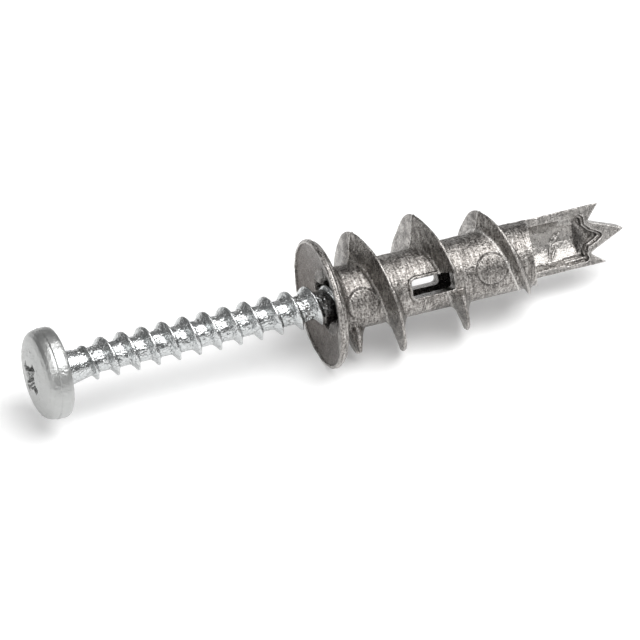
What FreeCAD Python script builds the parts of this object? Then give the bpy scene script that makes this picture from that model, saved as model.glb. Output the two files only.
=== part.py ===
import FreeCAD, Part
import math
import os

# Self-drilling drywall anchor with its screw started in the mouth.
# Millimetres. The common axis is X: the screw's head is at -X, the anchor's
# toothed tip at +X. x = 0 is the front rim of the anchor's flange. +Z is up as
# the object lies on a table.
# An angle psi is measured about +X, from +Z toward -Y.

# ---- driving dimensions: anchor -------------------------------------------
FLANGE_R = 7.10         # flange radius
GATE_FLAT = 0.12        # depth of the trimmed gate's flat under the flange
LIP_W = 0.24            # flat lip at the front rim
LIP_STEP = 0.14         # the dish starts this far below the lip
DISH_R = 3.75           # radius of the round well at the bottom of the dish
DISH_X = 0.94           # depth of the dish at that radius
FLOOR_X = 1.15          # depth of the well's floor
RIM_X = 0.95            # thickness of the flange's edge
RIM_R = 6.74            # radius at its back, drafted from the parting line
CONE_X = 1.75           # end of the flange's conical back
CONE_R = 4.20           # radius there
BODY_R0 = 3.55          # body radius behind the flange
BODY_R1 = 3.63          # body radius at BODY_X1
BODY_X1 = 18.8
TUBE_X = 24.85          # end of the full tube at the level of the cut face
TUBE_XM = 23.60         # and at the near side's top, drafted
TIP_R = 3.58            # half shell's outer radius
TIP_X1 = 36.2
CUT_M = -1.35           # level of the cut face, below the axis
BORE_R = 2.30           # the screw's thread clears it
POCKET_W = -0.20        # the pocket's axis is off the common axis, across the cut
POCKET_X0 = 24.40
POCKET = [(30.25, 2.86), (31.30, 2.15)]   # its end (x, r)
POCKET_R0 = 2.95        # pocket radius at its start
STEP_DEPTH = 0.40       # depth of the ledge round the pocket's shallow end
STEP_DEPTH2 = 0.90      # depth of the shallow end, from the cut face

MOULD_PSI = 62.0        # direction in which the two mould halves part
FLIGHT_PITCH = 7.31
FLIGHT_X0 = 4.89        # flight centre at PSI_TOP
PSI_TOP = -41.0
FLIGHT_IN_R = 2.95      # the flight's foot, inside the wall
FLIGHT_FOOT = 1.35      # half width of the flight at the body
FLIGHT_EDGE = 0.13      # half width of its edge
# (psi, edge radius) along the flight
FLIGHT_EDGE_R = [(-256.0, 3.30), (-248.0, 3.75), (-240.0, 4.60), (-231.0, 5.70),
                 (-221.0, 6.30), (-190.0, 6.50), (-150.0, 6.62), (-110.0, 6.55),
                 (-70.0, 6.48), (-50.0, 6.78), (-41.0, 6.86), (-28.0, 6.82),
                 (-4.0, 6.45), (16.0, 6.55), (52.0, 6.72), (71.0, 6.78),
                 (97.0, 6.64), (124.0, 6.92), (139.0, 7.02), (152.0, 7.02),
                 (175.0, 6.72), (210.0, 6.78), (245.0, 6.84), (290.0, 6.68),
                 (309.0, 7.02), (319.0, 7.13), (332.0, 7.06), (356.0, 6.60),
                 (376.0, 6.60), (412.0, 6.62), (457.0, 6.40), (484.0, 6.42),
                 (499.0, 6.43), (512.0, 6.38), (550.0, 6.12), (600.0, 6.05),
                 (650.0, 5.76), (668.0, 5.82), (679.0, 5.83), (692.0, 5.74),
                 (715.0, 5.42), (736.0, 5.28), (770.0, 5.02), (820.0, 4.62),
                 (860.0, 4.30), (890.0, 3.85), (908.0, 3.52), (925.0, 3.25)]
# (psi, shift along X) of the flight from an even helix
FLIGHT_DX = [(-256.0, 0.50), (-221.0, 0.45), (-190.0, 0.38), (-110.0, 0.18),
             (-70.0, 0.12), (-41.0, 0.0), (-28.0, -0.08), (16.0, -0.12),
             (52.0, -0.22), (97.0, -0.30), (139.0, -0.40), (200.0, -0.20),
             (240.0, 0.0), (290.0, 0.12), (319.0, -0.10), (332.0, -0.28),
             (355.0, -0.20), (376.0, -0.16), (412.0, -0.22), (457.0, -0.26),
             (499.0, -0.27), (560.0, -0.15), (600.0, 0.0), (650.0, 0.08),
             (679.0, -0.10), (692.0, -0.28), (715.0, -0.15), (740.0, -0.05),
             (800.0, 0.02), (860.0, 0.08), (925.0, 0.12)]
START_LEAD = 3.78       # lead of the flight before PSI_TOP

SLOT_X0 = 9.60          # window through both walls, along the mould direction
SLOT_X1 = 14.40
SLOT_NEAR = (-1.12, 0.98)   # across, near wall
SLOT_FAR = (-1.38, 1.05)    # across, far wall
SLOT_CORNER = 0.38
SLOT_RIM = 0.30         # width of the raised edge round the window
SLOT_RIM_M = 3.76       # height of that edge from the axis

RECESS_W = 1.15         # wings of the driver recess in the well's floor
RECESS_R = 3.45
RECESS_X1 = 4.2
RECESS_TAPER = 0.55

# outline of the half shell's end, (x, w), w across the cut face
TEETH = [(33.30, 3.90), (33.18, 3.12), (31.92, 1.72), (31.84, 1.42), (35.56, -0.04),
         (35.50, -0.20), (31.62, -1.92), (31.60, -2.10), (33.05, -3.22), (33.10, -3.90)]
# outline of the pocket's shallow end, (x, w)
STEP_OUTLINE = [(28.5, 2.40), (31.05, 2.40), (31.34, 2.07), (31.30, 1.33), (31.98, 0.60),
                (32.86, 0.10), (33.12, -0.14), (33.11, -0.44), (32.41, -0.86),
                (31.50, -1.24), (31.08, -1.60), (31.06, -1.95), (31.30, -2.38),
                (31.15, -2.71), (30.43, -2.86), (28.5, -2.88)]
# and of its deeper part
STEP_INNER = [(28.5, 2.12), (30.85, 2.12), (31.12, 1.92), (31.06, 1.20), (31.74, 0.44),
              (32.56, -0.04), (32.74, -0.26), (32.18, -0.62), (31.24, -1.04),
              (30.82, -1.52), (30.80, -1.98), (30.98, -2.28), (30.40, -2.40),
              (28.5, -2.40)]

# ---- driving dimensions: screw --------------------------------------------
HEAD_X = -29.70         # bearing face under the head
HEAD_T = 3.34           # head thickness
SCREW_LEN = 33.65       # under the head
THREAD_R = 2.25
CORE_R = 1.47
THREAD_PITCH = 2.34
THREAD_X0 = -1.12       # crest centre at PSI_TOP
THREAD_IN_R = 0.98      # the thread's foot, inside the core
THREAD_FOOT = 0.67      # half width there
THREAD_EDGE = 0.09      # half width of the crest
THREAD_LEAN = 0.58      # extra width at the foot, on the head's side
HEAD_R = 5.00
HEAD_OFF = 0.30         # the head sits this far off the thread's axis, toward psi 139
NECK_R = 2.04
NECK_X = -26.9          # end of the neck's cone
DRIVE_R = 2.40          # reach of the head's cross recess
DRIVE_W = 1.0
DRIVE_DEPTH = 2.1

V = FreeCAD.Vector
XAXIS = V(1, 0, 0)
TIP_X = HEAD_X + SCREW_LEN


def radial(psi):
    a = math.radians(psi)
    return V(0, -math.sin(a), math.cos(a))


M = radial(MOULD_PSI)                  # mould direction
W = radial(MOULD_PSI - 90.0)           # across the cut face


def place(x, r, psi):
    d = radial(psi)
    return V(x, d.y * r, d.z * r)


def revolve(profile):
    """Solid of revolution about X from (x, r) corners, closed along the axis."""
    pts = [V(x, 0, r) for x, r in profile]
    wire = Part.makePolygon(pts + [pts[0]])
    return Part.Face(wire).revolve(V(0, 0, 0), XAXIS, 360)


def lerp(table, t):
    if t <= table[0][0]:
        return table[0][1]
    for (a, va), (b, vb) in zip(table, table[1:]):
        if t <= b:
            s = (t - a) / (b - a)
            return va + (vb - va) * s
    return table[-1][1]


def helical(sections):
    """Solid lofted through (psi, [(x, r), ...]) sections about the X axis."""
    wires = []
    for psi, outline in sections:
        pts = [place(x, r, psi) for x, r in outline]
        wires.append(Part.makePolygon(pts + [pts[0]]))
    return Part.makeLoft(wires, True, False, False)


def slab(outline, m0, m1):
    """Prism along the mould direction from an outline of (x, w)."""
    pts = [V(x, W.y * w + M.y * m0, W.z * w + M.z * m0) for x, w in outline]
    face = Part.Face(Part.makePolygon(pts + [pts[0]]))
    return face.extrude(M * (m1 - m0))


def window(x0, x1, w0, w1, c, m0, m1):
    """Prism along the mould direction: a rectangle with cut corners."""
    d = 0.3 * c
    return slab([(x0 + c, w0), (x1 - c, w0), (x1 - d, w0 + d), (x1, w0 + c),
                 (x1, w1 - c), (x1 - d, w1 - d), (x1 - c, w1), (x0 + c, w1),
                 (x0 + d, w1 - d), (x0, w1 - c), (x0, w0 + c), (x0 + d, w0 + d)], m0, m1)


# ---- anchor ----------------------------------------------------------------
def anchor():
    outer = revolve([
        (FLOOR_X, 0.0), (FLOOR_X, DISH_R), (DISH_X, DISH_R),
        (LIP_STEP, FLANGE_R - 0.14 - LIP_W - 0.05), (0.0, FLANGE_R - 0.14 - LIP_W),
        (0.0, FLANGE_R - 0.14), (0.13, FLANGE_R), (0.46, FLANGE_R),
        (RIM_X, RIM_R), (RIM_X + 0.10, RIM_R - 0.18), (RIM_X + 0.34, 5.2),
        (CONE_X, CONE_R), (CONE_X + 0.25, BODY_R0 + 0.24), (CONE_X + 0.7, BODY_R0),
        (BODY_X1, BODY_R1), (22.4, BODY_R1 + 0.02), (23.3, TIP_R),
        (TIP_X1, TIP_R), (TIP_X1, 0.0)])

    # auger flight, right-hand
    psi0, psi1 = FLIGHT_EDGE_R[0][0], FLIGHT_EDGE_R[-1][0]
    n = int((psi1 - psi0) / 15.0)
    sections = []
    for i in range(n + 1):
        psi = psi0 + (psi1 - psi0) * i / n
        lead = FLIGHT_PITCH if psi > PSI_TOP else START_LEAD
        x = FLIGHT_X0 + lead * (psi - PSI_TOP) / 360.0 + lerp(FLIGHT_DX, psi)
        edge = lerp(FLIGHT_EDGE_R, psi)
        h = max(edge - BODY_R1, 0.0) / 3.4
        foot = 0.62 + (FLIGHT_FOOT - 0.62) * min(1.0, h * 1.5)
        mid_r = max(edge - 0.62 * (edge - FLIGHT_IN_R), FLIGHT_IN_R + 0.1)
        mid = FLIGHT_EDGE + (foot - FLIGHT_EDGE) * 0.46
        sections.append((psi, [
            (x - foot, FLIGHT_IN_R), (x - mid, mid_r), (x - FLIGHT_EDGE, edge),
            (x + FLIGHT_EDGE, edge), (x + mid, mid_r), (x + foot, FLIGHT_IN_R)]))
    flight = helical(sections)

    # the flight stops short on both sides of the window
    gap = slab([(SLOT_X0 - 0.5, -1.38), (SLOT_X1 + 1.2, -1.38),
                (SLOT_X1 + 1.2, 1.20), (SLOT_X0 - 0.5, 1.20)], -9.0, 9.0)
    flight = flight.cut(gap)

    g = SLOT_RIM
    rims = [window(SLOT_X0 - g, SLOT_X1 + g, SLOT_NEAR[0] - g, SLOT_NEAR[1] + g,
                   SLOT_CORNER + g, 0.0, SLOT_RIM_M),
            window(SLOT_X0 - g, SLOT_X1 + g, SLOT_FAR[0] - g, SLOT_FAR[1] + g,
                   SLOT_CORNER + g, -SLOT_RIM_M, 0.0)]
    solid = outer.fuse([flight] + rims)

    # bore, driver recess, window
    bore = Part.makeCylinder(BORE_R, POCKET[0][0] - 0.8, V(0.5, 0, 0), XAXIS)
    lead_in = Part.makeCone(BORE_R + 0.35, BORE_R, 0.35, V(FLOOR_X, 0, 0), XAXIS)
    cuts = [bore, lead_in]
    for k in range(4):
        d = radial(90.0 * k)
        s = radial(90.0 * k + 90.0)
        h = RECESS_W / 2.0
        pts = []
        for x, r in ((0.9, 1.0), (0.9, RECESS_R), (FLOOR_X, RECESS_R),
                     (RECESS_X1, RECESS_R - RECESS_TAPER), (RECESS_X1, 1.0)):
            pts.append(V(x, d.y * r - s.y * h, d.z * r - s.z * h))
        cuts.append(Part.Face(Part.makePolygon(pts + [pts[0]])).extrude(s * RECESS_W))
    cuts.append(window(SLOT_X0, SLOT_X1, SLOT_NEAR[0], SLOT_NEAR[1], SLOT_CORNER, 0.0, 9.0))
    cuts.append(window(SLOT_X0, SLOT_X1, SLOT_FAR[0], SLOT_FAR[1], SLOT_CORNER, -9.0, 0.0))

    # near part of the tip removed, its end sawn to teeth
    pts = [V(x, M.y * m - W.y * 6.0, M.z * m - W.z * 6.0)
           for x, m in ((TUBE_X, CUT_M), (TUBE_XM, 3.9), (TUBE_XM, 8.0), (42.0, 8.0),
                        (42.0, CUT_M))]
    cuts.append(Part.Face(Part.makePolygon(pts + [pts[0]])).extrude(W * 12.0))
    cuts.append(slab([(42.0, 3.90)] + TEETH + [(42.0, -3.90)], -8.0, 8.0))
    # pocket: deep round floor, then a shallow end that follows the teeth
    pocket = revolve([(POCKET_X0, 0.0), (POCKET_X0, POCKET_R0)] + POCKET
                     + [(POCKET[-1][0], 0.0)])
    pocket.translate(W * POCKET_W)
    cuts.append(pocket)
    cuts.append(slab(STEP_OUTLINE, CUT_M - STEP_DEPTH, CUT_M + 1.0))
    cuts.append(slab(STEP_INNER, CUT_M - STEP_DEPTH2, CUT_M + 1.0))
    # flat where the gate was trimmed; the flange rests on it
    cuts.append(Part.makeBox(3.0, 6.0, 2.0, V(-1.0, -3.0, GATE_FLAT - FLANGE_R - 2.0)))
    return solid.cut(cuts)


# ---- screw -----------------------------------------------------------------
def screw():
    off = radial(139.0) * HEAD_OFF
    top = HEAD_X - HEAD_T
    head = revolve([
        (top, 0.0), (top + 0.08, 1.6), (top + 0.26, 2.9),
        (top + 0.50, 3.9), (top + 0.76, 4.45), (top + 1.08, 4.74),
        (top + 1.50, 4.90), (top + 1.72, 4.93), (top + 1.88, HEAD_R),
        (HEAD_X - 0.48, HEAD_R), (HEAD_X - 0.14, 4.88), (HEAD_X, 4.68),
        (HEAD_X, NECK_R + 0.56), (HEAD_X + 0.20, NECK_R + 0.26),
        (HEAD_X + 0.80, NECK_R - 0.16), (HEAD_X + 0.80, 0.0)])
    head.translate(off)
    neck = Part.makeLoft([
        Part.Wire(Part.Circle(V(HEAD_X - 0.5, off.y, off.z), XAXIS, NECK_R + 0.09).toShape()),
        Part.Wire(Part.Circle(V(NECK_X + 1.5, off.y * 0.1, off.z * 0.1), XAXIS,
                              CORE_R - 0.07).toShape())],
        True, True, False)
    core = revolve([
        (HEAD_X + 2.2, 0.0), (HEAD_X + 2.2, CORE_R - 0.1), (HEAD_X + 4.0, CORE_R), (0.6, CORE_R),
        (2.2, 1.15), (3.2, 0.65), (TIP_X - 0.12, 0.12), (TIP_X, 0.0)])
    solid = head.fuse([neck, core])

    # thread: crest radius by x, run out below the neck and tapered at the tip
    crest = [(NECK_X - 0.45, 1.40), (NECK_X + 0.15, 1.85), (NECK_X + 0.9, 2.18),
             (NECK_X + 2.2, THREAD_R),
             (0.30, THREAD_R), (1.45, 1.75), (2.30, 1.12), (2.55, 0.95)]
    psi0 = PSI_TOP + 360.0 * (crest[0][0] - THREAD_X0) / THREAD_PITCH
    psi1 = PSI_TOP + 360.0 * (crest[-1][0] - THREAD_X0) / THREAD_PITCH
    n = int(round((psi1 - psi0) / 18.0))
    sections = []
    for i in range(n + 1):
        psi = psi0 + (psi1 - psi0) * i / n
        x = THREAD_X0 + THREAD_PITCH * (psi - PSI_TOP) / 360.0
        edge = max(lerp(crest, x), THREAD_IN_R + 0.02)
        k = min(1.0, (edge - THREAD_IN_R) / (THREAD_R - THREAD_IN_R))
        foot = 0.25 + (THREAD_FOOT - 0.25) * k
        mid = THREAD_EDGE + 0.22 * k
        mid_r = THREAD_IN_R + 0.5 * (edge - THREAD_IN_R)
        sections.append((psi, [
            (x - foot - THREAD_LEAN * k, THREAD_IN_R),
            (x - mid - 0.53 * THREAD_LEAN * k, mid_r), (x - THREAD_EDGE, edge),
            (x + THREAD_EDGE, edge), (x + mid, mid_r), (x + foot, THREAD_IN_R)]))
    # joined to the core a few turns at a time
    i = 0
    while i < n:
        j = i + 42 if n - (i + 42) >= 8 else n
        solid = solid.fuse(helical(sections[i:j + 1]))
        i = j

    # cross recess in the head
    cuts = []
    for k in range(2):
        d = radial(20.0 + 90.0 * k)
        s = radial(110.0 + 90.0 * k)
        h = DRIVE_W / 2.0
        pts = []
        for x, r in ((top - 1.0, -DRIVE_R - 0.25), (top + DRIVE_DEPTH, -0.95),
                     (top + DRIVE_DEPTH, 0.95), (top - 1.0, DRIVE_R + 0.25)):
            pts.append(V(x, off.y + d.y * r - s.y * h, off.z + d.z * r - s.z * h))
        cuts.append(Part.Face(Part.makePolygon(pts + [pts[0]])).extrude(s * DRIVE_W))
    cuts.append(Part.makeCone(1.35, 0.55, DRIVE_DEPTH + 0.1, V(top - 0.01, off.y, off.z),
                              XAXIS))
    return solid.cut(cuts)


def save(shape, node):
    solids = shape.Solids
    assert len(solids) == 1, (node, len(solids))
    solid = solids[0]
    assert solid.isValid(), node
    solid.exportStep("parts/%s.step" % node)
    b = solid.BoundBox
    print(node, "volume %.1f" % solid.Volume,
          "x %.2f..%.2f y %.2f..%.2f z %.2f..%.2f"
          % (b.XMin, b.XMax, b.YMin, b.YMax, b.ZMin, b.ZMax))


os.makedirs("parts", exist_ok=True)
save(anchor(), "anchor_body")
save(screw(), "screw")
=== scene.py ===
import math

import bpy
import numpy as np
from mathutils import Matrix, Vector

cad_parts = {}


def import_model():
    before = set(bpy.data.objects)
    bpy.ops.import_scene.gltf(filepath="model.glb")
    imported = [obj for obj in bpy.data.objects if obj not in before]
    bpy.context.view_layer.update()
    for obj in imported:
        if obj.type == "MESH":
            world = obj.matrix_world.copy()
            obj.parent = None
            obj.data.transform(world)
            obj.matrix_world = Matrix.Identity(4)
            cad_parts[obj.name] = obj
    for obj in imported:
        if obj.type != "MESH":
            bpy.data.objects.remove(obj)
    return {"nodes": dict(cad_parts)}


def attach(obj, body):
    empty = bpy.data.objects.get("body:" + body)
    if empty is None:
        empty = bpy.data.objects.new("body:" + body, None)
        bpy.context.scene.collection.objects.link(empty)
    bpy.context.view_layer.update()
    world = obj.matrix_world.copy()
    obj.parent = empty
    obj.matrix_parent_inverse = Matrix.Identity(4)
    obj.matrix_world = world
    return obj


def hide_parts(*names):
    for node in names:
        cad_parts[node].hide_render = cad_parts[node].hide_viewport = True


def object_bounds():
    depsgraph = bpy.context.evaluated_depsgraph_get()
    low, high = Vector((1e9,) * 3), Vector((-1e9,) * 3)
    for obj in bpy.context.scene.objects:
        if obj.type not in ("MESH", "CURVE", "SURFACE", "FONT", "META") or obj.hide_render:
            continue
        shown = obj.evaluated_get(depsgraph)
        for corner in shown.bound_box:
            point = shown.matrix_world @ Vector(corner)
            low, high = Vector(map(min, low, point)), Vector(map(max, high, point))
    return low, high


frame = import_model()
cad_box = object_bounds()
scene = bpy.context.scene

# Coordinates in the helper functions are millimetres in the row's frame: X along
# the common axis, psi measured about +X from +Z toward -Y.
MOULD_PSI = math.radians(62.0)
M_DIR = np.array([0.0, -math.sin(MOULD_PSI), math.cos(MOULD_PSI)])
W_DIR = np.array([0.0, -math.sin(MOULD_PSI - math.pi / 2), math.cos(MOULD_PSI - math.pi / 2)])


# ---- camera -----------------------------------------------------------------
def camera():
    fwd = Vector((0.2807, 0.7224, -0.6320)).normalized()
    right = Vector((0.9320, -0.3620, 0.0))
    right = (right - fwd * right.dot(fwd)).normalized()
    up = right.cross(fwd).normalized()
    depth = 4278.0
    x = (317.67 - 320.0) / 40000.0 * depth
    y = (304.59 - 320.0) / 40000.0 * depth
    pos = -(right * x - up * y + fwd * depth) / 1000.0
    data = bpy.data.cameras.new("camera")
    data.sensor_fit = "HORIZONTAL"
    data.sensor_width = 36.0
    data.lens = 2250.0
    data.clip_start = 0.5
    data.clip_end = 20.0
    ob = bpy.data.objects.new("camera", data)
    rot = Matrix((right, up, -fwd)).transposed()
    ob.matrix_world = Matrix.Translation(pos) @ rot.to_4x4()
    scene.collection.objects.link(ob)
    scene.camera = ob
    return ob


# ---- small helpers ----------------------------------------------------------
def coords(me):
    co = np.empty(len(me.vertices) * 3)
    me.vertices.foreach_get("co", co)
    return co.reshape(-1, 3) * 1000.0


def set_coords(me, co):
    me.vertices.foreach_set("co", (co / 1000.0).astype(np.float32).ravel())
    me.update()


def normals(me):
    no = np.empty(len(me.vertices) * 3, dtype=np.float32)
    me.vertex_normals.foreach_get("vector", no)
    return no.reshape(-1, 3).astype(float)


def lattice(p, seed):
    """Smooth value noise in -1..1 at points p, one cell per unit."""
    rng = np.random.default_rng(seed)
    table = rng.uniform(-1.0, 1.0, 4096)
    base = np.floor(p).astype(np.int64)
    f = p - base
    f = f * f * (3.0 - 2.0 * f)
    out = np.zeros(len(p))
    for dx in (0, 1):
        for dy in (0, 1):
            for dz in (0, 1):
                cell = base + np.array([dx, dy, dz])
                key = (cell[:, 0] * 73856093) ^ (cell[:, 1] * 19349663) ^ (cell[:, 2] * 83492791)
                weight = (
                    np.where(dx, f[:, 0], 1 - f[:, 0])
                    * np.where(dy, f[:, 1], 1 - f[:, 1])
                    * np.where(dz, f[:, 2], 1 - f[:, 2])
                )
                out += weight * table[key & 4095]
    return out


def remeshed(node, name, voxel):
    src = frame["nodes"][node]
    ob = bpy.data.objects.new(name, src.data.copy())
    scene.collection.objects.link(ob)
    mod = ob.modifiers.new("voxels", "REMESH")
    mod.mode = "VOXEL"
    mod.voxel_size = voxel
    mod.adaptivity = 0.0
    me = bpy.data.meshes.new_from_object(ob.evaluated_get(bpy.context.evaluated_depsgraph_get()))
    ob.modifiers.clear()
    ob.data = me
    me.name = name
    return ob


def relax(me, rounds, factor):
    """Smooths the mesh by its edges, without shrinking much."""
    edges = np.empty(len(me.edges) * 2, dtype=np.int64)
    me.edges.foreach_get("vertices", edges)
    edges = edges.reshape(-1, 2)
    a = np.concatenate([edges[:, 0], edges[:, 1]])
    b = np.concatenate([edges[:, 1], edges[:, 0]])
    co = coords(me)
    count = np.bincount(a, minlength=len(co))[:, None].clip(1)
    for k in range(rounds):
        for step in (factor, -factor * 1.03):
            total = np.stack(
                [np.bincount(a, weights=co[b, i], minlength=len(co)) for i in range(3)], 1
            )
            co = co + step * (total / count - co)
    set_coords(me, co)


def decimated(ob, triangles):
    me = ob.data
    count = sum(len(p.vertices) - 2 for p in me.polygons)
    if count <= triangles:
        return
    mod = ob.modifiers.new("fewer", "DECIMATE")
    mod.ratio = triangles / count
    mod.use_collapse_triangulate = True
    me2 = bpy.data.meshes.new_from_object(ob.evaluated_get(bpy.context.evaluated_depsgraph_get()))
    ob.modifiers.clear()
    ob.data = me2
    me2.name = ob.name


def smooth(me):
    me.polygons.foreach_set("use_smooth", np.ones(len(me.polygons), dtype=bool))
    me.update()


# ---- anchor -----------------------------------------------------------------
def gauss(d, s):
    return np.exp(-0.5 * (d / s) ** 2)


# shift along X of the flight from an even helix, by psi
FLIGHT_DX = [(-256, 0.50), (-221, 0.45), (-190, 0.38), (-110, 0.18), (-70, 0.12), (-41, 0.0),
             (-28, -0.08), (16, -0.12), (52, -0.22), (97, -0.30), (139, -0.40), (200, -0.20),
             (240, 0.0), (290, 0.12), (319, -0.10), (332, -0.28), (355, -0.20), (376, -0.16),
             (412, -0.22), (457, -0.26), (499, -0.27), (560, -0.15), (600, 0.0), (650, 0.08),
             (679, -0.10), (692, -0.28), (715, -0.15), (740, -0.05), (800, 0.02), (860, 0.08),
             (925, 0.12)]


def flight_x(psi):
    lead = np.where(psi > -41.0, 7.31, 3.78)
    dx = np.interp(psi, [k for k, v in FLIGHT_DX], [v for k, v in FLIGHT_DX])
    return 4.89 + lead * (psi + 41.0) / 360.0 + dx


def segment(px, py, a, b):
    """Distance to a segment, and the place along it."""
    a, b = np.array(a), np.array(b)
    d = b - a
    t = ((px - a[0]) * d[0] + (py - a[1]) * d[1]) / d.dot(d)
    t = t.clip(0, 1)
    return np.hypot(px - a[0] - t * d[0], py - a[1] - t * d[1]), t


def edge_mask(me, scale):
    """Stores how convex (+) or hollow (-) the surface is at each point."""
    edges = np.empty(len(me.edges) * 2, dtype=np.int64)
    me.edges.foreach_get("vertices", edges)
    edges = edges.reshape(-1, 2)
    co = coords(me)
    no = normals(me)
    a = np.concatenate([edges[:, 0], edges[:, 1]])
    b = np.concatenate([edges[:, 1], edges[:, 0]])
    d = co[b] - co[a]
    length = np.linalg.norm(d, axis=1).clip(1e-6)
    bend = -np.einsum("ij,ij->i", d, no[a]) / length ** 2
    total = np.bincount(a, weights=bend * length, minlength=len(co))
    weight = np.bincount(a, weights=length, minlength=len(co)).clip(1e-9)
    c = total / weight
    for k in range(2):
        near = np.bincount(a, weights=c[b], minlength=len(co))
        count = np.bincount(a, minlength=len(co)).clip(1)
        c = 0.4 * c + 0.6 * near / count
    c = (c / scale).clip(-1, 1)
    layer = me.attributes.new("edge_wear_and_hollow_shade", "FLOAT", "POINT")
    layer.data.foreach_set("value", c.astype(np.float32))


def store(me, name, values):
    layer = me.attributes.new(name, "FLOAT", "POINT")
    layer.data.foreach_set("value", np.asarray(values, dtype=np.float32))


def make_anchor():
    ob = remeshed("anchor_body", "anchor_casting", 0.00008)
    me = ob.data
    relax(me, 3, 0.5)
    co = coords(me)
    r = np.hypot(co[:, 1], co[:, 2])
    x = co[:, 0]
    # the dish runs on to the bore
    dish = 0.94 + (3.75 - r) * 0.19
    inner = (r < 3.9) & (r > 2.55) & (x > 0.85) & (x < 1.18)
    co[:, 0] = np.where(inner & (r < 3.75), np.minimum(x, dish), x)
    # the flight's ragged first edge behind the flange
    psi = np.degrees(np.arctan2(-co[:, 1], co[:, 2]))
    first = (x > 1.7) & (x < 4.3) & (r > 3.9)
    bite = 0.55 * gauss(psi - 129.0, 5.0) + 0.25 * gauss(psi - 147.0, 3.0)
    cut = np.where(first, 1.0 - bite * (r - 3.9) / r.clip(1.0), 1.0)
    co[:, 1] *= cut
    co[:, 2] *= cut
    r = np.hypot(co[:, 1], co[:, 2])
    set_coords(me, co)
    no = normals(me)
    m = co @ M_DIR
    w = co @ W_DIR
    x = co[:, 0]
    radial = np.stack([np.zeros(len(co)), co[:, 1], co[:, 2]], 1) / r[:, None].clip(1e-6)
    outward = np.einsum("ij,ij->i", no, radial)
    face_m = no @ M_DIR
    psi = np.degrees(np.arctan2(-co[:, 1], co[:, 2]))
    d = np.zeros(len(co))

    # parting line of the two mould halves, on everything that faces outward
    skin = (r > 3.1) & (outward > 0.15)
    rough_line = 0.075 + 0.03 * lattice(co / 0.45, 21)
    d += np.where(skin & (x > 0.9), rough_line * gauss(m, 0.075), 0.0)
    d += np.where((r > 3.8) & (x > 2.2) & (outward <= 0.15), 0.12 * gauss(m, 0.08), 0.0)
    # flash and fine steps round the flange's edge
    ripple = 0.6 + 0.5 * lattice(co / 0.8, 22)
    rim = (r > 6.6) & (x < 1.15)
    d += np.where(rim, 0.06 * ripple * gauss(x - 0.44, 0.06), 0.0)
    d -= np.where(rim, 0.06 * gauss(x - 0.66, 0.05), 0.0)
    d += np.where(rim, 0.04 * ripple * gauss(x - 0.90, 0.06), 0.0)
    lip = (x < 0.25) & (no[:, 0] < -0.3)
    d -= np.where(lip, 0.10 * ripple * gauss(r - 6.66, 0.06), 0.0)
    d += np.where(lip, 0.03 * lattice(co / 0.4, 23) * (r > 6.7), 0.0)
    # crease beside the recess's upper wing
    face = (x < 1.3) & (no[:, 0] < -0.5)
    dist, t = segment(co[:, 1], co[:, 2], (1.02, 3.95), (1.38, 1.6))
    d -= np.where(face, 0.16 * gauss(dist, 0.07), 0.0)
    # ejector pin marks: a fine groove round a disc
    for sign, places in ((1, ((4.0, -0.38), (18.85, 0.0))), (-1, ((6.4, 0.2), (20.2, 0.0)))):
        side = skin & (sign * m > 1.5) & (r < 3.95)
        for cx, cw in places:
            dist = np.hypot(x - cx, w - cw)
            d -= np.where(side, 0.10 * gauss(dist - 1.74, 0.065), 0.0)
            d += np.where(side & (dist < 1.68), 0.03, 0.0)
            inside = side & (dist < 1.6)
            d += np.where(inside, 0.02 * np.sin(w * 9.0 + x * 17.0 + 2.0 * lattice(co / 0.8, 8)), 0.0)
    # bead along the flight's foot, on the flange's side
    foot = np.full(len(co), 9.0)
    for turn in (-1, 0, 1, 2):
        p = psi + 360.0 * turn
        off = x - flight_x(p) + 0.92 - 0.12 * np.cos(np.radians(p - 320.0))
        ok = (p > -100) & (p < 860)
        foot = np.where(ok & (np.abs(off) < np.abs(foot)), off, foot)
    d += np.where(skin & (r > 3.5) & (r < 4.05), 0.08 * gauss(foot, 0.08), 0.0)

    # pocket floor: leaf-shaped beads and small pits
    floor = (x > 24.6) & (x < 30.6) & (m < -1.5) & (face_m > 0.25) & (r < 3.2)
    for p0, p1, wide in (((28.80, 0.62), (27.85, -0.28), 0.17), ((27.80, -0.05), (27.15, -1.85), 0.10),
                         ((28.20, -0.72), (27.32, -2.00), 0.10), ((28.45, 0.75), (27.70, 0.05), 0.06)):
        dist, t = segment(x, w, p0, p1)
        width = wide * (0.35 + 0.9 * np.sin(np.pi * t.clip(0.03, 0.97)))
        d += np.where(floor, 0.17 * np.exp(-((dist / width.clip(0.03)) ** 4)), 0.0)
        d -= np.where(floor, 0.05 * gauss(dist - 1.7 * width, 0.06), 0.0)
    for cx, cw in ((25.95, 1.30), (26.45, 1.22), (26.62, 1.15), (27.0, 1.12), (26.0, 0.6),
                   (29.4, -0.2), (29.6, -0.35), (29.1, 0.4), (28.9, -0.6), (26.7, -2.1),
                   (26.4, -2.3), (26.9, -2.4), (29.7, 0.5)):
        d -= np.where(floor, 0.09 * gauss(np.hypot(x - cx, w - cw), 0.08), 0.0)
    d += np.where(floor, 0.03 * lattice(co / np.array([0.9, 0.35, 0.35]), 9)
                  + 0.02 * np.sin(w * 7.0 - x * 1.5 + 3.0 * lattice(co / 1.1, 10)) * (w < -0.2), 0.0)

    # thicker lip along the pocket's lower side
    wall = (x > 25.0) & (x < 30.7) & (w < -2.0) & (w > -3.1) & (m > -2.1) & (m < -1.3) & (no @ W_DIR > 0.3)
    d += np.where(wall, 0.16 * ((-2.0 - w) / 0.5).clip(0, 1), 0.0)
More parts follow.
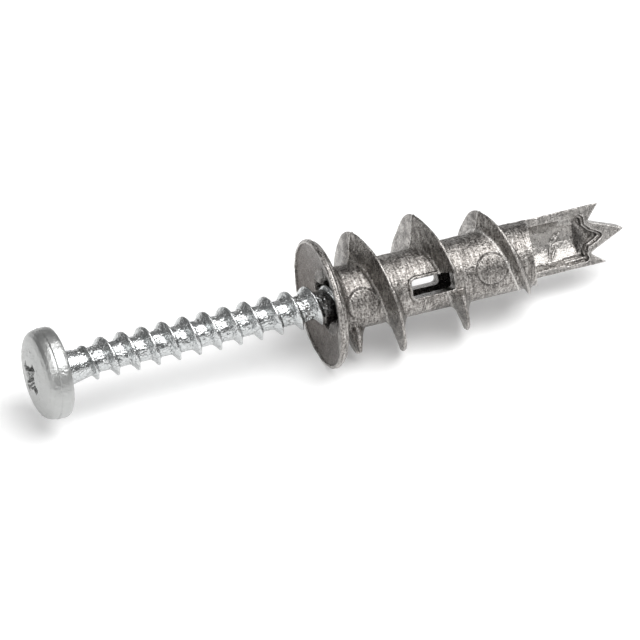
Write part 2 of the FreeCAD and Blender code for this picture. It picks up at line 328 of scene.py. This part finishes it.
    # as-cast unevenness
    d += 0.024 * lattice(co / 1.9, 3) + 0.016 * lattice(co / 0.7, 4) + 0.011 * lattice(co / 0.3, 5)
    pits = lattice(co / 0.42, 6)
    d -= np.where(pits > 0.62, 0.10 * (pits - 0.62), 0.0)
    set_coords(me, co + no * d[:, None])
    decimated(ob, 190000)
    smooth(ob.data)
    me = ob.data
    edge_mask(me, 3.0)
    co = coords(me)
    no = normals(me)
    r = np.hypot(co[:, 1], co[:, 2])
    m = co @ M_DIR
    psi = np.degrees(np.arctan2(-co[:, 1], co[:, 2]))
    # raised lines painted bright: the parting line, partly rubbed metal and partly painted highlight, and
    # the flight's foot, a painted highlight of its fillet
    foot = np.full(len(co), 9.0)
    for turn in (-1, 0, 1, 2):
        p = psi + 360.0 * turn
        off = co[:, 0] - flight_x(p) + 0.92 - 0.12 * np.cos(np.radians(p - 320.0))
        ok = (p > -100) & (p < 860)
        foot = np.where(ok & (np.abs(off) < np.abs(foot)), off, foot)
    rub_and_glint = np.where((r > 3.4) & (co[:, 0] > 2.0), gauss(m, 0.07), 0.0)
    rub_and_glint = np.maximum(rub_and_glint, np.where((r > 3.5) & (r < 4.0), 0.7 * gauss(foot, 0.08), 0.0))
    # painted highlight: the glint a rough patch of the dish beside the recess shows at a grazing angle
    patch = (co[:, 0] < 1.1) & (no[:, 0] < -0.5) & (r > 3.9) & (r < 6.5) & (psi > 80) & (psi < 113)
    rub_and_glint = np.maximum(rub_and_glint, np.where(patch, 0.45 + 0.4 * lattice(co / 0.25, 31), 0.0))
    store(me, "rub_and_glint", rub_and_glint * (0.75 + 0.35 * lattice(co / 0.6, 32)))
    # flight edges are less rubbed than the rest
    store(me, "outer", ((r - 4.4) / 0.8).clip(0, 1) * (co[:, 0] > 1.4))
    # steep dark end of the pocket's deep part
    slope = (co[:, 0] > 29.9) & (co[:, 0] < 31.6) & (m < -2.1) & (no[:, 0] < -0.25) & (r < 3.3)
    store(me, "shade", slope)
    # sawn and trimmed faces at the tip, and the pocket's floor, painted bright: partly the tone of fresh
    # sawn metal, partly painted light where the lamps leave them dim
    sawn_and_lit = (co[:, 0] > 23.8) & (np.abs(m + 1.35) < 0.16) & (no @ M_DIR > 0.75)
    bed = (co[:, 0] > 24.6) & (co[:, 0] < 30.1) & (m < -1.6) & (no @ M_DIR > 0.35) & (r < 3.2)
    store(me, "sawn_and_lit", 0.7 * sawn_and_lit + 0.9 * bed)
    # the flange's front is painted darker
    front = (co[:, 0] < 0.98) & (no[:, 0] < -0.6) & (r < 6.72)
    store(me, "front", front)
    # painted shade inside the mouth and bore
    store(me, "bore_shade", (co[:, 0] > 1.0) & (co[:, 0] < 24.0) & (r < 3.5)
          & (np.einsum("ij,ij->i", no[:, 1:], co[:, 1:]) < 0))
    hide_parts("anchor_body")
    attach(ob, "anchor")
    return ob


# ---- screw ------------------------------------------------------------------
def make_screw():
    ob = remeshed("screw", "screw_turned", 0.00006)
    me = ob.data
    relax(me, 2, 0.5)
    co = coords(me)
    no = normals(me)
    x = co[:, 0]
    r = np.hypot(co[:, 1], co[:, 2])
    head = x < -29.6
    d = 0.008 * lattice(co / 0.9, 11) + 0.005 * lattice(co / 0.35, 12)
    # rolled core: lapped wrinkles and small dents
    core = (r < 1.62) & (x > -28.2)
    wrinkle = lattice(co / np.array([0.75, 0.5, 0.5]), 13)
    d += np.where(core, 0.045 * np.sin(4.0 * wrinkle + x * 1.3) * np.abs(wrinkle), 0.0)
    d += np.where(core, 0.030 * lattice(co / 0.36, 14), 0.0)
    crack = lattice(co / np.array([0.55, 0.42, 0.42]), 24) + 0.4 * lattice(co / 0.2, 25)
    d -= np.where(core, 0.045 * gauss(crack, 0.10), 0.0)
    near_neck = core & (x < -25.2)
    fold = lattice(co / np.array([0.45, 0.30, 0.30]), 15)
    d += np.where(near_neck, 0.05 * np.abs(fold) - 0.02, 0.0)
    # nicks along the crests
    crest = r > 2.02
    d += np.where(crest & ~head, 0.03 * lattice(co / 0.5, 16), 0.0)
    # fine line where the head's shoulder meets its side
    d -= np.where(head & (r > 4.4), 0.07 * gauss(x + 31.22, 0.06), 0.0)
    d += np.where(head, 0.012 * lattice(co / 0.25, 17) + 0.010 * lattice(co / 0.6, 18), 0.0)
    # rough facets left by the recess punch
    recess = (x < -30.4) & (x > -32.85) & (r < 2.9)
    d += np.where(recess, 0.05 * lattice(co / 0.22, 19), 0.0)
    set_coords(me, co + no * d[:, None])
    decimated(ob, 190000)
    smooth(ob.data)
    me = ob.data
    edge_mask(me, 3.5)
    co = coords(me)
    store(me, "satin", ((-29.2 - co[:, 0]) / 0.6).clip(0, 1))
    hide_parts("screw")
    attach(ob, "screw")
    return ob


# ---- materials --------------------------------------------------------------
def nodes_of(mat):
    mat.use_nodes = True
    nt = mat.node_tree
    nt.nodes.clear()
    out = nt.nodes.new("ShaderNodeOutputMaterial")
    bsdf = nt.nodes.new("ShaderNodeBsdfPrincipled")
    nt.links.new(bsdf.outputs[0], out.inputs[0])
    return nt, bsdf


def noise(nt, vec, scale, detail=2.0, rough=0.5):
    n = nt.nodes.new("ShaderNodeTexNoise")
    n.inputs["Scale"].default_value = scale
    n.inputs["Detail"].default_value = detail
    n.inputs["Roughness"].default_value = rough
    nt.links.new(vec, n.inputs["Vector"])
    return n.outputs["Fac"]


def ramp(nt, fac, stops):
    n = nt.nodes.new("ShaderNodeValToRGB")
    el = n.color_ramp.elements
    while len(el) < len(stops):
        el.new(0.5)
    for e, (pos, col) in zip(el, stops):
        e.position = pos
        e.color = (*col, 1.0) if len(col) == 3 else col
    nt.links.new(fac, n.inputs["Fac"])
    return n.outputs["Color"]


def math_node(nt, op, a, b):
    n = nt.nodes.new("ShaderNodeMath")
    n.operation = op
    for sock, val in zip(n.inputs, (a, b)):
        if isinstance(val, (int, float)):
            sock.default_value = val
        else:
            nt.links.new(val, sock)
    return n.outputs[0]


def attribute(nt, name):
    n = nt.nodes.new("ShaderNodeAttribute")
    n.attribute_type = "GEOMETRY"
    n.attribute_name = name
    return n.outputs["Fac"]


def mixed(nt, fac, a, b, mode="MIX"):
    n = nt.nodes.new("ShaderNodeMix")
    n.data_type = "RGBA"
    n.blend_type = mode
    for sock, val in ((n.inputs["Factor"], fac), (n.inputs[6], a), (n.inputs[7], b)):
        if isinstance(val, (int, float)):
            sock.default_value = val
        elif isinstance(val, tuple):
            sock.default_value = (*val, 1.0)
        else:
            nt.links.new(val, sock)
    return n.outputs[2]


def cast_zinc():
    mat = bpy.data.materials.new("cast_zinc")
    nt, bsdf = nodes_of(mat)
    tc = nt.nodes.new("ShaderNodeTexCoord")
    vec = tc.outputs["Object"]
    fine = noise(nt, vec, 6200.0, 2.0, 0.6)
    mid = noise(nt, vec, 3300.0, 3.0, 0.65)
    broad = noise(nt, vec, 420.0, 3.0, 0.6)
    # fine scratches that run round the casting
    stretch = nt.nodes.new("ShaderNodeMapping")
    stretch.inputs["Scale"].default_value = (1.0, 0.14, 0.14)
    nt.links.new(vec, stretch.inputs["Vector"])
    brushed = noise(nt, stretch.outputs[0], 5200.0, 2.0, 0.6)
    mix = math_node(nt, "MULTIPLY", fine, 0.45)
    mix = math_node(nt, "ADD", mix, math_node(nt, "MULTIPLY", mid, 0.35))
    mix = math_node(nt, "MULTIPLY", math_node(nt, "ADD", mix, math_node(nt, "MULTIPLY", broad, 0.2)), 0.7)
    mix = math_node(nt, "ADD", mix, math_node(nt, "MULTIPLY", brushed, 0.3))
    col = ramp(nt, mix, [(0.405, (0.072, 0.067, 0.062)), (0.5, (0.235, 0.220, 0.207)),
                         (0.595, (0.56, 0.538, 0.514))])
    edge_wear_and_hollow_shade = attribute(nt, "edge_wear_and_hollow_shade")
    bright = ramp(nt, edge_wear_and_hollow_shade, [(0.10, (0, 0, 0)), (0.60, (1, 1, 1))])
    held = math_node(nt, "SUBTRACT", 0.85, math_node(nt, "MULTIPLY", attribute(nt, "outer"), 0.65))
    bright = math_node(nt, "MULTIPLY", bright, held)
    col = mixed(nt, bright, col, (0.58, 0.56, 0.54))
    # painted shade: hollows and creases darkened where shade falls
    hollow = ramp(nt, math_node(nt, "MULTIPLY", edge_wear_and_hollow_shade, -1.0), [(0.10, (0, 0, 0)), (0.55, (1, 1, 1))])
    col = mixed(nt, math_node(nt, "MULTIPLY", hollow, 0.8), col, (0.035, 0.03, 0.028))
    # painted light, partly the own brightness of sawn metal: the sawn faces and the pocket's floor
    # lightened
    col = mixed(nt, math_node(nt, "MULTIPLY", attribute(nt, "sawn_and_lit"), 0.45), col, (0.62, 0.60, 0.58))
    col = mixed(nt, math_node(nt, "MULTIPLY", attribute(nt, "front"), 0.8), col, (0.118, 0.104, 0.095))
    # painted shade: the inside of the mouth and bore darkened
    col = mixed(nt, math_node(nt, "MULTIPLY", attribute(nt, "bore_shade"), 0.5), col, (0.05, 0.048, 0.045))
    col = mixed(nt, math_node(nt, "MULTIPLY", attribute(nt, "shade"), 0.7), col, (0.05, 0.047, 0.045))
    # the parting line and flight foot painted bright, partly rubbed metal and partly painted highlight,
    # and a painted glint on the dish
    col = mixed(nt, attribute(nt, "rub_and_glint"), col, (0.88, 0.86, 0.83))
    nt.links.new(col, bsdf.inputs["Base Color"])
    bsdf.inputs["Metallic"].default_value = 0.92
    rough = ramp(nt, mid, [(0.40, (0.23,) * 3), (0.60, (0.42,) * 3)])
    nt.links.new(rough, bsdf.inputs["Roughness"])
    height = math_node(nt, "ADD", math_node(nt, "MULTIPLY", fine, 0.55), mid)
    height = math_node(nt, "ADD", height, math_node(nt, "MULTIPLY", brushed, 0.5))
    bump = nt.nodes.new("ShaderNodeBump")
    bump.inputs["Strength"].default_value = 0.85
    bump.inputs["Distance"].default_value = 0.00010
    nt.links.new(height, bump.inputs["Height"])
    nt.links.new(bump.outputs[0], bsdf.inputs["Normal"])
    return mat


def plated_steel():
    mat = bpy.data.materials.new("plated_steel")
    nt, bsdf = nodes_of(mat)
    tc = nt.nodes.new("ShaderNodeTexCoord")
    vec = tc.outputs["Object"]
    fine = noise(nt, vec, 6500.0, 2.0, 0.5)
    mid = noise(nt, vec, 1500.0, 3.0, 0.6)
    spots = noise(nt, vec, 2600.0, 2.0, 0.5)
    satin = attribute(nt, "satin")
    col = ramp(nt, mid, [(0.3, (0.48, 0.495, 0.497)), (0.7, (0.62, 0.632, 0.634))])
    edge_wear_and_hollow_shade = attribute(nt, "edge_wear_and_hollow_shade")
    bright = ramp(nt, edge_wear_and_hollow_shade, [(0.10, (0, 0, 0)), (0.7, (1, 1, 1))])
    col = mixed(nt, math_node(nt, "MULTIPLY", bright, 0.6), col, (0.80, 0.81, 0.81))
    # painted shade: thread roots and other hollows darkened where shade falls
    hollow = ramp(nt, math_node(nt, "MULTIPLY", edge_wear_and_hollow_shade, -1.0), [(0.12, (0, 0, 0)), (0.7, (1, 1, 1))])
    col = mixed(nt, math_node(nt, "MULTIPLY", hollow, 0.65), col, (0.10, 0.105, 0.105))
    dark = ramp(nt, spots, [(0.26, (1, 1, 1)), (0.36, (0, 0, 0))])
    col = mixed(nt, math_node(nt, "MULTIPLY", dark, 0.35), col, (0.15, 0.155, 0.15))
    cells = nt.nodes.new("ShaderNodeTexVoronoi")
    cells.feature = "DISTANCE_TO_EDGE"
    cells.inputs["Scale"].default_value = 2100.0
    bent = nt.nodes.new("ShaderNodeVectorMath")
    bent.operation = "ADD"
    wave = nt.nodes.new("ShaderNodeTexNoise")
    wave.inputs["Scale"].default_value = 1800.0
    nt.links.new(vec, wave.inputs["Vector"])
    small = nt.nodes.new("ShaderNodeVectorMath")
    small.operation = "SCALE"
    small.inputs["Scale"].default_value = 0.0006
    nt.links.new(wave.outputs["Color"], small.inputs[0])
    nt.links.new(vec, bent.inputs[0])
    nt.links.new(small.outputs[0], bent.inputs[1])
    nt.links.new(bent.outputs[0], cells.inputs["Vector"])
    # wrinkle fold lines along the cell edges, used below for painted shade and as dents in the bump
    fold_lines = ramp(nt, cells.outputs["Distance"], [(0.0, (1, 1, 1)), (0.10, (0, 0, 0))])
    body = math_node(nt, "SUBTRACT", 1.0, satin)
    fold_lines = math_node(nt, "MULTIPLY", fold_lines, body)
    fold_lines = math_node(nt, "MULTIPLY", fold_lines, ramp(nt, mid, [(0.42, (0, 0, 0)), (0.55, (1, 1, 1))]))
    # painted shade along the fold lines, breaking up the body's highlights
    col = mixed(nt, math_node(nt, "MULTIPLY", fold_lines, 0.6), col, (0.12, 0.125, 0.125))
    col = mixed(nt, math_node(nt, "MULTIPLY", satin, 0.8), col, (0.41, 0.413, 0.405))
    nt.links.new(col, bsdf.inputs["Base Color"])
    bsdf.inputs["Metallic"].default_value = 1.0
    rough = ramp(nt, mid, [(0.3, (0.13,) * 3), (0.75, (0.24,) * 3)])
    rough = mixed(nt, satin, rough, (0.40, 0.40, 0.40))
    nt.links.new(rough, bsdf.inputs["Roughness"])
    height = math_node(nt, "ADD", math_node(nt, "MULTIPLY", fine, 0.35), mid)
    height = math_node(nt, "SUBTRACT", height, math_node(nt, "MULTIPLY", fold_lines, 0.35))
    grit = math_node(nt, "MULTIPLY", noise(nt, vec, 5200.0, 1.0, 0.5), satin)
    height = math_node(nt, "ADD", height, math_node(nt, "MULTIPLY", grit, 0.7))
    bump = nt.nodes.new("ShaderNodeBump")
    bump.inputs["Strength"].default_value = 0.6
    bump.inputs["Distance"].default_value = 0.00009
    nt.links.new(height, bump.inputs["Height"])
    nt.links.new(bump.outputs[0], bsdf.inputs["Normal"])
    return mat


def stage(low):
    mat = bpy.data.materials.new("floor_white")
    nt, bsdf = nodes_of(mat)
    bsdf.inputs["Base Color"].default_value = (0.80, 0.80, 0.80, 1)
    bsdf.inputs["Roughness"].default_value = 0.9
    bsdf.inputs["Specular IOR Level"].default_value = 0.0
    bsdf.inputs["Emission Color"].default_value = (1.0, 1.0, 1.0, 1.0)
    bsdf.inputs["Emission Strength"].default_value = 0.24
    me = bpy.data.meshes.new("floor")
    s = 8.0
    me.from_pydata([(-s, -s, low), (s, -s, low), (s, s, low), (-s, s, low)], [], [(0, 1, 2, 3)])
    me.materials.append(mat)
    ob = bpy.data.objects.new("floor", me)
    scene.collection.objects.link(ob)


def area(name, pos, target, size, power, size_y=None):
    data = bpy.data.lights.new(name, "AREA")
    data.energy = power
    data.shape = "RECTANGLE"
    data.size = size
    data.size_y = size_y or size
    ob = bpy.data.objects.new(name, data)
    ob.location = pos
    d = Vector(target) - Vector(pos)
    ob.rotation_euler = d.to_track_quat("-Z", "Y").to_euler()
    scene.collection.objects.link(ob)
    return ob


def world():
    """A dim room: dark toward the far horizon, brighter overhead."""
    w = bpy.data.worlds.new("studio")
    scene.world = w
    w.use_nodes = True
    nt = w.node_tree
    bg = nt.nodes["Background"]
    tc = nt.nodes.new("ShaderNodeTexCoord")
    sep = nt.nodes.new("ShaderNodeSeparateXYZ")
    nt.links.new(tc.outputs["Generated"], sep.inputs[0])
    # -1..1 to 0..1, up
    up = nt.nodes.new("ShaderNodeMapRange")
    up.inputs["From Min"].default_value = -0.1
    up.inputs["From Max"].default_value = 1.0
    nt.links.new(sep.outputs["Z"], up.inputs["Value"])
    col = nt.nodes.new("ShaderNodeValToRGB")
    el = col.color_ramp.elements
    stops = [(0.0, 0.34), (0.20, 0.21), (0.55, 0.24), (0.85, 0.46), (1.0, 0.6)]
    while len(el) < len(stops):
        el.new(0.5)
    for e, (pos, v) in zip(el, stops):
        e.position = pos
        e.color = (v, v, v, 1.0)
    nt.links.new(up.outputs[0], col.inputs["Fac"])
    nt.links.new(col.outputs["Color"], bg.inputs[0])
    bg.inputs[1].default_value = 1.0


camera()
zinc = cast_zinc()
steel = plated_steel()
anchor = make_anchor()
anchor.data.materials.clear()
anchor.data.materials.append(zinc)
screw = make_screw()
screw.data.materials.clear()
screw.data.materials.append(steel)

low = min(cad_box[0][2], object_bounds()[0][2])
stage(low)
world()
area("overhead", (0.14, -0.13, 0.46), (0, 0, 0), 0.50, 3.1, 0.42)
area("left", (-0.36, -0.24, 0.30), (0, 0, 0), 0.16, 0.55, 0.26)

scene.view_settings.view_transform = "Standard"
scene.view_settings.look = "None"
scene.view_settings.exposure = 0.0
scene.view_settings.gamma = 1.0
